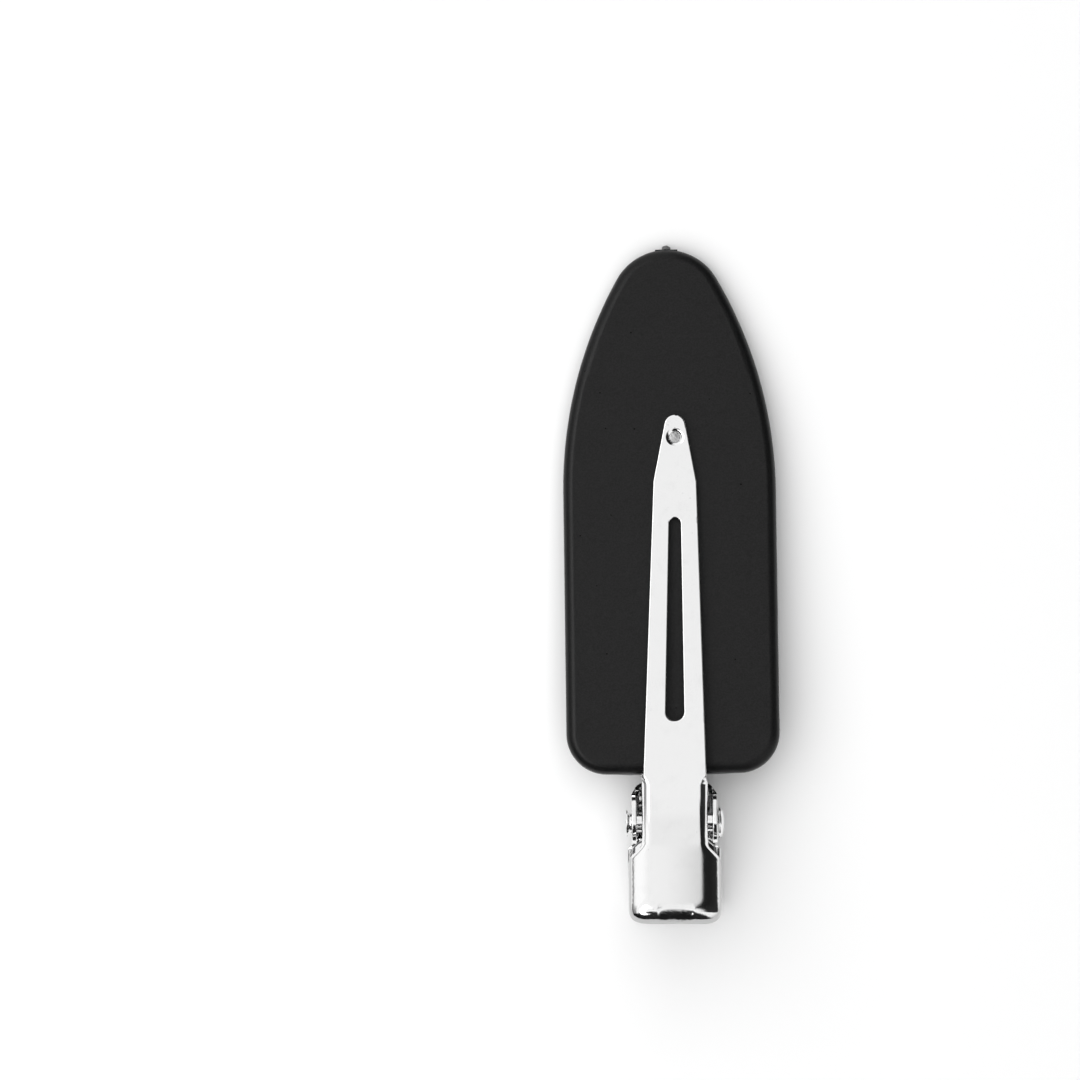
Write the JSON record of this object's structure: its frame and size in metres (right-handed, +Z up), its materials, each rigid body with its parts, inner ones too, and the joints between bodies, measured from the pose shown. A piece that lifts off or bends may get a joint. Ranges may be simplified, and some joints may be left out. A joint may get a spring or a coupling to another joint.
{
  "type": "hair setting clip",
  "caption": "Flat hair setting clip: a bullet-shaped moulded cover plate on a sprung pressed-steel clip with a slotted jaw, finger tabs and a riveted pivot.",
  "frame": {"origin": "on the floor under the middle of the clip's box, as it lies face down on its upper finger tab and the plate's nose", "axes": "+X to the rivet's domed head, +Y to the plate's nose, +Z up, on the side of the steel jaw"},
  "size_m": [0.02, 0.064, 0.0122],
  "materials": {
    "black_plastic": "matte moulded black plastic",
    "plated_steel": "bright nickel plate on pressed sheet steel",
    "plated_rivet": "bright nickel plate on a headed rivet",
    "spring_wire": "drawn spring steel wire"
  },
  "bodies": {
    "cover": {"cover_plate": "black_plastic", "upper_arm": "plated_steel", "pivot_pin": "plated_rivet", "torsion_spring": "spring_wire"},
    "jaw": {"lower_arm": "plated_steel"}
  },
  "joints": [
    {"name": "jaw_hinge", "type": "hinge", "parent": "cover", "child": "jaw", "pos_m": [0, -0.02233, 0.00541], "axis": [1, 0, 0], "range_deg": [0, 54], "stiffness_Nm_per_rad": 0.006, "springref_deg": -45.84, "deforming": ["torsion_spring"]}
  ]
}
